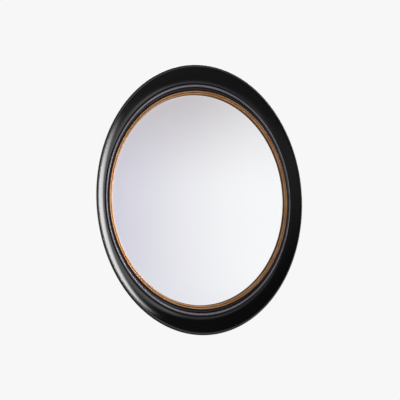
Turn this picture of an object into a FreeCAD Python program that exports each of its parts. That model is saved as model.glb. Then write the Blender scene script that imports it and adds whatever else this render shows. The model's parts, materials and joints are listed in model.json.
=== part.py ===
"""Oval wall mirror: a black moulded frame in four glued arcs, a reeded gilt slip, a bevelled
glass, its backing, and the fittings on its back.

The wall is the plane y = 0 and the mirror stands out from it towards -Y, with +Z up and the
origin at the centre of the oval. A level is a distance from the wall. Offsets from the frame's
outer oval are given as a pair, across at the sides and up at the top and bottom ends, because
the moulding is wider at the ends than at the sides.
"""

import FreeCAD, Part
import math
import os

import Sketcher

SIZES = {
    # overall oval and the moulding's width from the outer edge to the sight edge
    "outer_width": 606,
    "outer_height": 762,
    "side_width": 48.5,
    "end_width": 82.5,
    # bands of the moulding from the outside in; the scoop takes what is left
    "rim_side": 6.5,
    "rim_end": 11,
    "bead_side": 5.8,
    "bead_end": 12.5,
    "quirk_side": 4.9,
    "quirk_end": 8.5,
    "slip_side": 9.2,
    "slip_end": 11.8,
    # heights of the moulding
    "scoop_depth": 19.7,
    "rim_inner_height": 3.6,
    "rim_outer_height": 6.5,
    "bead_height": 2.8,
    "lip_thickness": 2.2,
    "back_edge": 8,
    "back_inset_side": 15,
    "back_inset_end": 18,
    # joints between the four arcs
    "joint_angle": 48,
    "spline_wall": 8.5,
    "spline_length": 36,
    "spline_thickness": 6,
    "spline_level": 4,
    "spline_chamfer": 1.2,
    "glue_gap": 0.1,
    # the slip
    "flange_thickness": 2.3,
    "flange_gap": 0.5,
    "slip_gap": 0.2,
    "sight_thickness": 2.7,
    "reed_height": 3.9,
    "second_reed_drop": 1.3,
    "reed_valley_depth": 1.1,
    # the glass and what lies behind it
    "glass_thickness": 5,
    "glass_edge_thickness": 2.5,
    "glass_cover": 13,
    "bevel_width": 25,
    "edge_gap": 2.5,
    "seat_gap": 0.2,
    "silver_thickness": 0.2,
    "foam_thickness": 1.5,
    "foam_inset": 1,
    "board_thickness": 3,
    "board_gap": 1,
    "block_length": 20,
    "block_gap": 0.3,
    # turn buttons
    "button_inset": 9,
    "button_length": 27,
    "button_width": 12,
    "button_tip_width": 8,
    "button_thickness": 1.5,
    "button_gap": 0.3,
    "button_bore_gap": 0.1,
    # round-head screws
    "shank_radius": 1.6,
    "screw_head_radius": 3.2,
    "screw_head_height": 1.9,
    "screw_head_round": 0.7,
    "screw_length": 11,
    "screw_tip": 3,
    "screw_seat_gap": 0.15,
    "recess_width": 0.9,
    "recess_length": 3.6,
    "recess_depth": 1,
    "pilot_gap": 0.02,
    "pilot_end_gap": 0.4,
    # hangers
    "hanger_spread": 300,
    "hanger_inset": 4,
    "strap_length": 28,
    "strap_width": 14,
    "strap_thickness": 1,
    "strap_corner": 3,
    "strap_first_hole": 5.5,
    "strap_hole_spacing": 11,
    "ring_wire_radius": 1.3,
    "ring_fit": 0.1,
    "ring_bar": 15.4,
    "ring_corner": 3.4,
    "ring_side": 3,
    # wall bumpers
    "bumper_thickness": 6,
    "bumper_radius": 6.5,
    "bumper_round": 1.2,
    # how far a cutting shape runs past what it cuts
    "overrun": 5,
}

# the rim from its widest line up to the crest: share across its outer half, share of its height
RIM_OUTER_SHARES = ((0, 0), (0.06, 0.42), (0.28, 0.78), (0.62, 0.96), (1, 1))
# the rim from its crest down to the crease: share across its inner half, share down
RIM_INNER_SHARES = ((0.02, -0.06), (0.3, 0.05), (0.56, 0.24), (0.78, 0.52), (0.93, 0.8), (1, 1))
RIM_CREST_SHARE = 0.46
# the scoop: share across at the sides, share across at the ends, share of its depth left
SCOOP_SHARES = ((0, 0, 1), (0.127, 0.097, 0.85), (0.257, 0.2, 0.7), (0.392, 0.312, 0.55),
                (0.534, 0.436, 0.4), (0.664, 0.559, 0.27), (0.783, 0.682, 0.16),
                (0.878, 0.794, 0.08), (0.946, 0.888, 0.03), (1, 1, 0.008))
# the bead: share across, share of its height
BEAD_OUTER_SHARES = ((0, 0), (0.06, 0.42), (0.2, 0.8), (0.36, 0.97), (0.47, 1))
BEAD_INNER_SHARES = ((0.5, 1.05), (0.62, 0.985), (0.75, 0.87), (0.88, 0.6), (0.97, 0.25), (1, 0))
# the two reeds of the slip: share across, share of the reed's own height
FIRST_REED_OUTER_SHARES = ((0.02, 0.45), (0.05, 0.72), (0.12, 0.92), (0.2, 1))
FIRST_REED_INNER_SHARES = ((0.2, 1.06), (0.3, 0.93), (0.39, 0.66), (0.45, 0.33), (0.48, 0))
SECOND_REED_OUTER_SHARES = ((0.48, 0), (0.52, 0.5), (0.58, 0.88), (0.65, 1))
SECOND_REED_INNER_SHARES = ((0.66, 1.03), (0.78, 0.9), (0.9, 0.55), (1, 0))

BUTTON_ANGLES = {"upper_right": 30, "top": 90, "upper_left": 150,
                 "lower_left": 210, "bottom": 270, "lower_right": 330}
BLOCK_ANGLES = (0, 62, 118, 180, 242, 298)
BUMPER_ANGLES = (74, 106, 235, 305)
JOINTS = {"upper_right": (1, 1), "upper_left": (-1, 1), "lower_left": (-1, -1), "lower_right": (1, -1)}
SIDES = {"left": -1, "right": 1}

FULL_TURN = 360


class Value:
    """A length worked out from the sheet: the text that an expression uses, and its number now."""

    def __init__(self, text, number):
        self.text = text
        self.number = number

    def joined(self, sign, other, number):
        return Value(f"({self.text} {sign} {other.text})", number)

    def __add__(self, other):
        other = value(other)
        return self.joined("+", other, self.number + other.number)

    def __sub__(self, other):
        other = value(other)
        return self.joined("-", other, self.number - other.number)

    def __mul__(self, other):
        other = value(other)
        return self.joined("*", other, self.number * other.number)

    def __truediv__(self, other):
        other = value(other)
        return self.joined("/", other, self.number / other.number)

    def __rsub__(self, other):
        return value(other) - self

    def __rmul__(self, other):
        return value(other) * self

    def __rtruediv__(self, other):
        return value(other) / self

    def __neg__(self):
        return Value(f"(0 - {self.text})", -self.number)


def value(item):
    return item if isinstance(item, Value) else Value(repr(item), item)


def size(name):
    return Value(f"Sizes.{name}", SIZES[name])


def cosine(angle):
    angle = value(angle)
    return Value(f"cos({angle.text})", math.cos(math.radians(angle.number)))


def sine(angle):
    angle = value(angle)
    return Value(f"sin({angle.text})", math.sin(math.radians(angle.number)))


def root(item):
    return Value(f"sqrt({item.text})", math.sqrt(item.number))


def direction(up, across):
    turned = math.degrees(math.atan2(up.number, across.number))
    return Value(f"atan2({up.text}; {across.text})", turned)


def upright(oval, tall, wide):
    """One value where the oval stands taller than wide, and the other where it doesn't."""
    tall, wide = value(tall), value(wide)
    chosen = tall if oval.up.number >= oval.across.number else wide
    return Value(f"({oval.up.text} >= {oval.across.text} ? {tall.text} : {wide.text})", chosen.number)


def smaller(first, second):
    return Value(f"min({first.text}; {second.text})", min(first.number, second.number))


class Oval:
    """An oval line of the mirror, by its half width and half height."""

    def __init__(self, across, up):
        self.across = across
        self.up = up

    def spot(self, turn):
        """The point at a turn round the oval, and the angle of the line square to it there."""
        x = self.across * cosine(turn)
        z = self.up * sine(turn)
        return x, z, direction(self.across * sine(turn), self.up * cosine(turn))

    def reach(self, angle):
        """How far the oval lies from the centre in one direction."""
        across = cosine(angle) / self.across
        up = sine(angle) / self.up
        return 1 / root(across * across + up * up)

    def grown(self, by):
        return Oval(self.across + by, self.up + by)


def inset(side, end):
    """The oval that lies these offsets inside the outer edge."""
    return Oval(size("outer_width") / 2 - side, size("outer_height") / 2 - end)


class Band:
    """One band of the moulding, by where it starts and how wide it is at the sides and the ends."""

    def __init__(self, side, side_width, end, end_width):
        self.side = side
        self.side_width = side_width
        self.end = end
        self.end_width = end_width

    def oval(self, share, end_share=None):
        end = share if end_share is None else end_share
        return inset(self.side + share * self.side_width, self.end + end * self.end_width)


slip_side_start = size("side_width") - size("slip_side")
slip_end_start = size("end_width") - size("slip_end")
bead_side_start = slip_side_start - size("quirk_side") - size("bead_side")
bead_end_start = slip_end_start - size("quirk_end") - size("bead_end")
RIM = Band(value(0), size("rim_side"), value(0), size("rim_end"))
SCOOP = Band(size("rim_side"), bead_side_start - size("rim_side"),
             size("rim_end"), bead_end_start - size("rim_end"))
BEAD = Band(bead_side_start, size("bead_side"), bead_end_start, size("bead_end"))
SLIP = Band(slip_side_start, size("slip_side"), slip_end_start, size("slip_end"))

OUTER = inset(value(0), value(0))
BACK = inset(size("back_inset_side"), size("back_inset_end"))
OPENING = SLIP.oval(0)
SIGHT = SLIP.oval(1)
GLASS = SIGHT.grown(size("glass_cover"))
RABBET = GLASS.grown(size("edge_gap"))

# levels from the wall to the front
wood_back = size("bumper_thickness")
board_front = wood_back + size("board_thickness")
foam_front = board_front + size("foam_thickness")
silver_front = foam_front + size("silver_thickness")
glass_edge = silver_front + size("glass_edge_thickness")
glass_face = silver_front + size("glass_thickness")
bevel_rise = size("glass_thickness") - size("glass_edge_thickness")
slip_back = glass_edge + bevel_rise * size("glass_cover") / size("bevel_width") + size("seat_gap")
flange_front = slip_back + size("flange_thickness")
floor = flange_front + size("lip_thickness")
crease = floor + size("scoop_depth")
rim_crest = crease + size("rim_inner_height")
girth = rim_crest - size("rim_outer_height")
reed_crest = slip_back + size("sight_thickness") + size("reed_height")
second_crest = reed_crest - size("second_reed_drop")
valley = second_crest - size("reed_valley_depth")
sight_front = slip_back + size("sight_thickness")
button_back = wood_back - size("button_gap") - size("button_thickness")
button_screw_seat = button_back - size("screw_seat_gap")
hanger_screw_seat = wood_back - size("strap_thickness")
eye_radius = size("ring_wire_radius") + size("ring_fit") + size("strap_thickness")
eye_level = wood_back - eye_radius

doc = FreeCAD.newDocument("oval_mirror")
sheet = doc.addObject("Spreadsheet::Sheet", "Sizes")
for row, (name, number) in enumerate(SIZES.items(), start=1):
    sheet.set(f"A{row}", name)
    sheet.set(f"B{row}", str(number))
    sheet.setAlias(f"B{row}", name)
doc.recompute()


def point(x, y=0):
    return FreeCAD.Vector(x, y, 0)


def new_body(name):
    return doc.addObject("PartDesign::Body", name)


def new_sketch(body, name, role="XZ_Plane", level=None):
    """A sketch on one of the body's own planes; on the XZ plane a level moves it off the wall."""
    sketch = body.newObject("Sketcher::SketchObject", name)
    plane = next(item for item in body.Origin.OriginFeatures if item.Role == role)
    sketch.AttachmentSupport = (plane, [""])
    sketch.MapMode = "FlatFace"
    if level is not None:
        sketch.setExpression("AttachmentOffset.Base.z", value(level).text)
    return sketch


def bind(sketch, constraint, item):
    index = sketch.addConstraint(constraint)
    sketch.setExpression(f"Constraints[{index}]", item.text)


def pin_point(sketch, line, end, x, y):
    """Fixes one end of a line, or a centre, by its distances from the sketch's origin."""
    for kind, item in (("DistanceX", x), ("DistanceY", y)):
        item = value(item)
        bind(sketch, Sketcher.Constraint(kind, -1, 1, line, end, item.number), item)


def oval_sketch(body, name, oval, level):
    """An ellipse at a level, with its long axis along whichever half size is larger."""
    sketch = new_sketch(body, name, level=level)
    long_end = upright(oval, 0, oval.across), upright(oval, oval.up, 0)
    short_half = smaller(oval.across, oval.up)
    corner = point(long_end[0].number, long_end[1].number)
    side = point(long_end[1].number, -long_end[0].number) * (short_half.number / corner.Length)
    sketch.addGeometry(Part.Ellipse(corner, side, point(0)), False)
    sketch.exposeInternalGeometry(0)
    sketch.addConstraint(Sketcher.Constraint("Coincident", 0, 3, -1, 1))
    pin_point(sketch, 1, 1, *long_end)
    bind(sketch, Sketcher.Constraint("Distance", 2, 2 * short_half.number), 2 * short_half)
    return sketch


def outline_sketch(body, name, corners, role="XZ_Plane", level=None):
    """A closed outline of straight lines through corners that are worked out from the sheet."""
    sketch = new_sketch(body, name, role, level)
    spots = [point(value(x).number, value(y).number) for x, y in corners]
    for index, spot in enumerate(spots):
        sketch.addGeometry(Part.LineSegment(spot, spots[(index + 1) % len(spots)]), False)
    for index, (x, y) in enumerate(corners):
        sketch.addConstraint(Sketcher.Constraint("Coincident", index, 2, (index + 1) % len(spots), 1))
        pin_point(sketch, index, 1, x, y)
    return sketch


def circle_sketch(body, name, circles, role="XZ_Plane", level=None):
    """Circles given as x, y and radius."""
    sketch = new_sketch(body, name, role, level)
    for index, (x, y, radius) in enumerate(circles):
        x, y = value(x), value(y)
        centre = point(x.number, y.number)
        sketch.addGeometry(Part.Circle(centre, FreeCAD.Vector(0, 0, 1), radius.number), False)
        bind(sketch, Sketcher.Constraint("Radius", index, radius.number), radius)
        pin_point(sketch, index, 3, x, y)
    return sketch


def loft(body, kind, name, rows, ruled):
    """A loft through ovals, each given with its level; checks that it adds or removes material."""
    before = body.Shape.Volume if body.Tip else 0
    sketches = [oval_sketch(body, f"{name}_line_{index}", *row) for index, row in enumerate(rows)]
    doc.recompute()
    feature = body.newObject(f"PartDesign::{kind}Loft", name)
    feature.Profile = sketches[0]
    feature.Sections = sketches[1:]
    feature.Ruled = ruled
    doc.recompute()
    changed = body.Shape.Volume - before
    if changed == 0 or (changed > 0) != (kind == "Additive"):
        raise ValueError(f"{name} doesn't change its body as it should")
    return feature


def pad(body, name, sketch, length, both_ways=False):
    feature = body.newObject("PartDesign::Pad", name)
    feature.Profile = sketch
    feature.Midplane = both_ways
    feature.setExpression("Length", length.text)
    doc.recompute()
    return feature


def pocket(body, name, sketch, length=None, forward=True):
    """A pocket towards the front, or towards the wall; through everything where no length is given."""
    before = body.Shape.Volume
    feature = body.newObject("PartDesign::Pocket", name)
    feature.Profile = sketch
    feature.Reversed = forward
    if length is None:
        feature.Type = "ThroughAll"
    else:
        feature.setExpression("Length", length.text)
    doc.recompute()
    if body.Shape.Volume >= before:
        raise ValueError(f"{name} cuts nothing")
    return feature


def place(item, x, level, z, turn=None):
    """Puts an object at x and z on a level, turned from +X towards +Z."""
    item.setExpression("Placement.Base.x", value(x).text)
    item.setExpression("Placement.Base.y", (-value(level)).text)
    item.setExpression("Placement.Base.z", value(z).text)
    if turn is not None:
        turn = value(turn)
        item.Placement.Rotation = FreeCAD.Rotation(FreeCAD.Vector(0, -1, 0), turn.number)
        item.setExpression("Placement.Rotation.Angle", turn.text)
    return item


def band_rows(band, shares, low, height):
    return [(band.oval(across), low + height * up) for across, up in shares]


# places of the fittings on the back

def button_spot(turn):
    return RABBET.grown(size("button_inset")).spot(turn)


def bumper_spot(turn):
    middle = Oval((RABBET.across + BACK.across) / 2, (RABBET.up + BACK.up) / 2)
    return middle.spot(turn)


def hanger_foot():
    """The height of a strap's lower end, clear of the board's recess."""
    near = (size("hanger_spread") - size("strap_width")) / 2 / RABBET.across
    return RABBET.up * root(1 - near * near) + size("hanger_inset")


def hanger_screw_spots(side):
    x = side * size("hanger_spread") / 2
    first = hanger_foot() + size("strap_first_hole")
    return [(x, first), (x, first + size("strap_hole_spacing"))]


# the wood ring and its four arcs

def make_wood_ring():
    body = new_body("wood_ring")
    outline = ((BACK, wood_back), (BACK, wood_back + size("back_edge")), (OUTER, girth))
    loft(body, "Additive", "outer_side", outline, ruled=True)
    crest_share = RIM_CREST_SHARE
    outer = [(across * crest_share, up) for across, up in RIM_OUTER_SHARES]
    loft(body, "Additive", "rim_outer", band_rows(RIM, outer, girth, size("rim_outer_height")), ruled=False)
    inner = [(crest_share + across * (1 - crest_share), 1 - down) for across, down in RIM_INNER_SHARES]
    loft(body, "Subtractive", "rim_inner",
         band_rows(RIM, inner, crease, size("rim_inner_height")), ruled=False)
    scoop = [(SCOOP.oval(side, end), floor + size("scoop_depth") * up) for side, end, up in SCOOP_SHARES]
    loft(body, "Subtractive", "scoop", scoop, ruled=False)
    bead_base = scoop[-1][1]
    loft(body, "Additive", "bead_outer",
         band_rows(BEAD, BEAD_OUTER_SHARES, bead_base, size("bead_height")), ruled=False)
    loft(body, "Subtractive", "bead_inner",
         band_rows(BEAD, BEAD_INNER_SHARES, bead_base, size("bead_height")), ruled=False)
    pocket(body, "opening", oval_sketch(body, "opening_line", OPENING, wood_back))
    pocket(body, "rabbet", oval_sketch(body, "rabbet_line", RABBET, wood_back), flange_front - wood_back)
    pilot_radius = size("shank_radius") + size("pilot_gap")
    holes = [button_spot(turn)[:2] for turn in BUTTON_ANGLES.values()]
    for side in SIDES.values():
        holes += hanger_screw_spots(side)
    pilots = circle_sketch(body, "pilot_marks", [(x, z, pilot_radius) for x, z in holes], level=wood_back)
    pocket(body, "pilots", pilots, size("screw_length") - size("strap_thickness") + size("pilot_end_gap"))
    return body


def joint_box(name, across, up, shrink):
    """A box laid over a joint: its length runs across the joint, between two equal walls of wood."""
    box = doc.addObject("Part::Box", name)
    angle = size("joint_angle")
    inner, outer = RABBET.reach(angle), BACK.reach(angle)
    width = outer - inner - 2 * size("spline_wall") - 2 * shrink
    length = size("spline_length") - 2 * shrink
    thickness = size("spline_thickness") - 2 * shrink
    box.setExpression("Length", width.text)
    box.setExpression("Width", thickness.text)
    box.setExpression("Height", length.text)
    turn = direction(up * sine(angle), across * cosine(angle))
    near = (inner + outer - width) / 2
    x = near * cosine(turn) + length / 2 * sine(turn)
    z = near * sine(turn) - length / 2 * cosine(turn)
    return place(box, x, wood_back + size("spline_level") + thickness + shrink, z, turn)


def chamfered(name, base, length):
    feature = doc.addObject("Part::Chamfer", name)
    feature.Base = base
    doc.recompute()
    feature.Edges = [(index + 1, length.number, length.number) for index in range(len(base.Shape.Edges))]
    return feature


def make_sector(name, across, up):
    """A wedge from the centre that holds one arc between two joints, for right, left, top or bottom."""
    body = new_body(name)
    angle = size("joint_angle")
    far = size("outer_width") + size("outer_height")
    x, z = far * cosine(angle), far * sine(angle)
    if across:
        corners = [(0, 0), (across * x, -z), (across * x, z)]
    else:
        corners = [(0, 0), (x, up * z), (-x, up * z)]
    sketch = outline_sketch(body, f"{name}_line", corners)
    pad(body, f"{name}_pad", sketch, rim_crest + size("overrun"))
    return body


def common(name, first, second):
    feature = doc.addObject("Part::Common", name)
    feature.Base = first
    feature.Tool = second
    return feature


# the slip

def make_slip_ring():
    body = new_body("slip_ring")
    flange = oval_sketch(body, "flange_line", RABBET.grown(-size("flange_gap")), slip_back)
    pad(body, "flange", flange, size("flange_thickness"))
    neck_line = OPENING.grown(-size("slip_gap"))
    neck_top = reed_crest - size("reed_height") + size("reed_height") * FIRST_REED_OUTER_SHARES[0][1]
    neck = oval_sketch(body, "neck_line", neck_line, flange_front)
    pad(body, "neck", neck, neck_top - flange_front)
    foot = reed_crest - size("reed_height")
    first = [(neck_line, neck_top)]
    first += band_rows(SLIP, FIRST_REED_OUTER_SHARES[1:], foot, size("reed_height"))
    loft(body, "Additive", "first_reed", first, ruled=False)
    loft(body, "Subtractive", "first_valley",
         band_rows(SLIP, FIRST_REED_INNER_SHARES, valley, reed_crest - valley), ruled=False)
    loft(body, "Additive", "second_reed",
         band_rows(SLIP, SECOND_REED_OUTER_SHARES, valley, size("reed_valley_depth")), ruled=False)
    fall = second_crest - sight_front
    loft(body, "Subtractive", "sight_slope",
         band_rows(SLIP, SECOND_REED_INNER_SHARES, sight_front, fall), ruled=False)
    pocket(body, "sight", oval_sketch(body, "sight_line", SIGHT, slip_back))
    return body


# the glass and what lies behind it

def make_slab(name, oval, back, thickness):
    body = new_body(name)
    pad(body, f"{name}_pad", oval_sketch(body, f"{name}_line", oval, back), thickness)
    return body


def make_glass():
    body = make_slab("mirror_glass", GLASS, silver_front, size("glass_edge_thickness"))
    rows = [(GLASS, glass_edge), (GLASS.grown(-size("bevel_width")), glass_face)]
    loft(body, "Additive", "bevel", rows, ruled=True)
    return body


def make_block(name, turn):
    """A rubber block in the gap round the glass, laid along the edge."""
    thickness = size("edge_gap") - 2 * size("block_gap")
    box = doc.addObject("Part::Box", name)
    box.setExpression("Length", thickness.text)
    box.setExpression("Width", size("glass_edge_thickness").text)
    box.setExpression("Height", size("block_length").text)
    x, z, angle = GLASS.grown(size("block_gap")).spot(turn)
    half = size("block_length") / 2
    return place(box, x + half * sine(angle), glass_edge, z - half * cosine(angle), angle)


# turn buttons and screws

def make_button(name, turn):
    """A flat button, its bore at its own origin and its arm towards the middle of the mirror."""
    body = new_body(name)
    sketch = new_sketch(body, f"{name}_outline")
    head = size("button_width") / 2
    tip = size("button_tip_width") / 2
    arm = size("button_length") - head - tip
    lean = math.asin((head.number - tip.number) / arm.number)
    across, up = math.sin(lean), math.cos(lean)
    head_top = point(head.number * -across, head.number * up)
    tip_top = point(-arm.number - tip.number * across, tip.number * up)
    head_low = point(head_top.x, -head_top.y)
    tip_low = point(tip_top.x, -tip_top.y)
    sketch.addGeometry(Part.Arc(head_low, point(head.number), head_top), False)
    sketch.addGeometry(Part.LineSegment(head_top, tip_top), False)
    sketch.addGeometry(Part.Arc(tip_top, point(-arm.number - tip.number), tip_low), False)
    sketch.addGeometry(Part.LineSegment(tip_low, head_low), False)
    sketch.addConstraint(Sketcher.Constraint("Tangent", 0, 2, 1, 1))
    sketch.addConstraint(Sketcher.Constraint("Tangent", 1, 2, 2, 1))
    sketch.addConstraint(Sketcher.Constraint("Tangent", 2, 2, 3, 1))
    sketch.addConstraint(Sketcher.Constraint("Tangent", 3, 2, 0, 1))
    sketch.addConstraint(Sketcher.Constraint("Coincident", 0, 3, -1, 1))
    pin_point(sketch, 2, 3, -arm, 0)
    bind(sketch, Sketcher.Constraint("Radius", 0, head.number), head)
    bind(sketch, Sketcher.Constraint("Radius", 2, tip.number), tip)
    pad(body, f"{name}_plate", sketch, size("button_thickness"))
    bore = circle_sketch(body, f"{name}_bore_line", [(0, 0, size("shank_radius") + size("button_bore_gap"))],
                         level=0)
    pocket(body, f"{name}_bore", bore)
    x, z, angle = button_spot(turn)
    return place(body, x, button_back, z, angle)


def make_screw(name):
    """A round-head screw, its seat at its own origin and its point towards the front."""
    body = new_body(name)
    shank, head = size("shank_radius"), size("screw_head_radius")
    height, rounding = size("screw_head_height"), size("screw_head_round")
    length, tip = size("screw_length"), size("screw_tip")
    corners = [(0, height), (head - 2 * rounding, height), (head - rounding / 2, height - rounding / 2),
               (head, height - 2 * rounding), (head, 0), (shank, 0), (shank, tip - length), (0, -length)]
    sketch = outline_sketch(body, f"{name}_half", corners, role="XY_Plane")
    feature = body.newObject("PartDesign::Revolution", f"{name}_turned")
    feature.Profile = sketch
    feature.ReferenceAxis = (sketch, ["V_Axis"])
    feature.Angle = FULL_TURN
    doc.recompute()
    wide, long = size("recess_width") / 2, size("recess_length") / 2
    cross = [(long, -wide), (long, wide), (wide, wide), (wide, long), (-wide, long), (-wide, wide),
             (-long, wide), (-long, -wide), (-wide, -wide), (-wide, -long), (wide, -long), (wide, -wide)]
    recess = outline_sketch(body, f"{name}_cross", cross, level=-height)
    pocket(body, f"{name}_recess", recess, size("recess_depth"))
    return body


def group(name, items):
    feature = doc.addObject("Part::Compound", name)
    feature.Links = items
    return feature


def linked(name, source, x, level, z):
    link = doc.addObject("App::Link", name)
    link.LinkedObject = source
    link.LinkTransform = False
    return place(link, x, level, z)


# hangers

def make_strap(name, side):
    """A strap plate with a rolled eye, the middle of the eye at its own origin."""
    body = new_body(name)
    half, corner = size("strap_width") / 2, size("strap_corner")
    foot = -size("strap_length")
    corners = [(half, 0), (-half, 0), (-half, foot + corner), (corner - half, foot),
               (half - corner, foot), (half, foot + corner)]
    plate = outline_sketch(body, f"{name}_outline", corners, level=eye_radius - size("strap_thickness"))
    pad(body, f"{name}_plate", plate, size("strap_thickness"))
    roll = circle_sketch(body, f"{name}_roll_line", [(0, 0, eye_radius)], role="YZ_Plane")
    pad(body, f"{name}_roll", roll, size("strap_width"), both_ways=True)
    bore_radius = size("ring_wire_radius") + size("ring_fit")
    bore = circle_sketch(body, f"{name}_bore_line", [(0, 0, bore_radius)], role="YZ_Plane")
    eye = body.newObject("PartDesign::Pocket", f"{name}_bore")
    eye.Profile = bore
    eye.Midplane = True
    eye.setExpression("Length", (size("strap_width") + size("overrun")).text)
    doc.recompute()
    hole = size("shank_radius") + size("button_bore_gap")
    first = foot + size("strap_first_hole")
    spots = [(0, first, hole), (0, first + size("strap_hole_spacing"), hole)]
    pocket(body, f"{name}_holes", circle_sketch(body, f"{name}_hole_lines", spots, level=0))
    place(body, side * size("hanger_spread") / 2, eye_level, hanger_foot() + size("strap_length"))
    return body


def make_ring(name, side):
    """A D-shaped wire ring, the middle of its straight bar at its own origin."""
    body = new_body(name)
    half, corner, rise = size("ring_bar") / 2, size("ring_corner"), size("ring_side")
    top = corner + rise
    left, low, wide, high = -half.number, corner.number, (half + corner).number, top.number
    bend = low * (1 - math.sqrt(1 / 2))
    path = new_sketch(body, f"{name}_path")
    path.addGeometry(Part.LineSegment(point(left), point(-left)), False)
    path.addGeometry(Part.Arc(point(-left), point(wide - bend, bend), point(wide, low)), False)
    path.addGeometry(Part.LineSegment(point(wide, low), point(wide, high)), False)
    path.addGeometry(Part.Arc(point(wide, high), point(0, high + wide), point(-wide, high)), False)
    path.addGeometry(Part.LineSegment(point(-wide, high), point(-wide, low)), False)
    path.addGeometry(Part.Arc(point(-wide, low), point(bend - wide, bend), point(left)), False)
    for index in range(6):
        path.addConstraint(Sketcher.Constraint("Tangent", index, 2, (index + 1) % 6, 1))
    pin_point(path, 1, 3, half, corner)
    pin_point(path, 5, 3, -half, corner)
    pin_point(path, 3, 3, 0, top)
    bind(path, Sketcher.Constraint("Radius", 1, corner.number), corner)
    bind(path, Sketcher.Constraint("Radius", 5, corner.number), corner)
    wire = circle_sketch(body, f"{name}_wire", [(0, 0, size("ring_wire_radius"))], role="YZ_Plane")
    doc.recompute()
    pipe = body.newObject("PartDesign::AdditivePipe", f"{name}_pipe")
    pipe.Profile = wire
    pipe.Spine = path
    place(body, side * size("hanger_spread") / 2, eye_level, hanger_foot() + size("strap_length"))
    return body


def make_bumper(name):
    """A round rubber bumper, the middle of its wall face at its own origin."""
    body = new_body(name)
    radius, rounding, thickness = size("bumper_radius"), size("bumper_round"), size("bumper_thickness")
    corners = [(0, 0), (radius - rounding, 0), (radius, -rounding), (radius, -thickness), (0, -thickness)]
    sketch = outline_sketch(body, f"{name}_half", corners, role="XY_Plane")
    feature = body.newObject("PartDesign::Revolution", f"{name}_turned")
    feature.Profile = sketch
    feature.ReferenceAxis = (sketch, ["V_Axis"])
    feature.Angle = FULL_TURN
    doc.recompute()
    return body


def build():
    """Builds every sub-part and returns them by the names of their files."""
    parts = {}
    mortises, splines = [], {}
    for place_name, (across, up) in JOINTS.items():
        mortises.append(joint_box(f"mortise_{place_name}", across, up, value(0)))
        raw = joint_box(f"spline_blank_{place_name}", across, up, size("glue_gap"))
        name = f"joint_spline_{place_name}"
        splines[name] = chamfered(name, raw, size("spline_chamfer"))
    ring = doc.addObject("Part::Cut", "mortised_ring")
    ring.Base = make_wood_ring()
    ring.Tool = group("mortises", mortises)
    slip = make_slip_ring()
    sectors = {"top": (0, 1), "right": (1, 0), "bottom": (0, -1), "left": (-1, 0)}
    for name, (across, up) in sectors.items():
        sector = make_sector(f"sector_{name}", across, up)
        parts[f"frame_arc_{name}"] = common(f"frame_arc_{name}", ring, sector)
        parts[f"slip_arc_{name}"] = common(f"slip_arc_{name}", slip, sector)
    parts.update(splines)

    parts["mirror_glass"] = make_glass()
    parts["mirror_silvering"] = make_slab("mirror_silvering", GLASS, foam_front, size("silver_thickness"))
    foam_line = GLASS.grown(-size("foam_inset"))
    parts["foam_sheet"] = make_slab("foam_sheet", foam_line, board_front, size("foam_thickness"))
    board_line = RABBET.grown(-size("board_gap"))
    parts["backing_board"] = make_slab("backing_board", board_line, wood_back, size("board_thickness"))
    blocks = [make_block(f"edge_block_{index}", turn) for index, turn in enumerate(BLOCK_ANGLES)]
    parts["edge_blocks"] = group("edge_blocks", blocks)

    screw = make_screw("screw")
    button_screws = []
    for name, turn in BUTTON_ANGLES.items():
        parts[f"turn_button_{name}"] = make_button(f"turn_button_{name}", turn)
        x, z, angle = button_spot(turn)
        button_screws.append(linked(f"button_screw_{name}", screw, x, button_screw_seat, z))
    parts["turn_button_screws"] = group("turn_button_screws", button_screws)

    hanger_screws = []
    for name, side in SIDES.items():
        parts[f"hanger_strap_{name}"] = make_strap(f"hanger_strap_{name}", side)
        parts[f"hanger_ring_{name}"] = make_ring(f"hanger_ring_{name}", side)
        for index, (x, z) in enumerate(hanger_screw_spots(side)):
            hanger_screws.append(linked(f"hanger_screw_{name}_{index}", screw, x, hanger_screw_seat, z))
    parts["hanger_screws"] = group("hanger_screws", hanger_screws)

    bumper = make_bumper("bumper")
    bumpers = []
    for index, turn in enumerate(BUMPER_ANGLES):
        x, z, angle = bumper_spot(turn)
        bumpers.append(linked(f"bumper_{index}", bumper, x, 0, z))
    parts["wall_bumpers"] = group("wall_bumpers", bumpers)
    return parts


def write(parts):
    """Checks the document and each sub-part, then writes each sub-part to its own file."""
    doc.recompute()
    for item in doc.Objects:
        if "Invalid" in item.State or "Error" in item.State:
            raise ValueError(f"{item.Name} failed: {item.State}")
    for name, part in parts.items():
        if part.Shape.isNull() or not part.Shape.isValid() or not part.Shape.Solids:
            raise ValueError(f"{name} has no valid solid")
        part.Label = name
    os.makedirs("parts", exist_ok=True)
    for name, part in parts.items():
        part.Shape.exportStep(f"parts/{name}.step")
        solids = part.Shape.Solids
        print(f"{name}: {len(solids)} solids, {sum(solid.Volume for solid in solids):.1f} mm3")


write(build())
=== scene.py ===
"""Oval wall mirror: the finishes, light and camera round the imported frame.

Lengths are in metres in the frame's own axes: the wall is y = 0, the glass faces -Y and +Z is up.
"""

import json
import logging
import math
from dataclasses import astuple, dataclass
from enum import Enum
from typing import Sequence, Union

import bpy
from mathutils import Matrix, Vector

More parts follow.
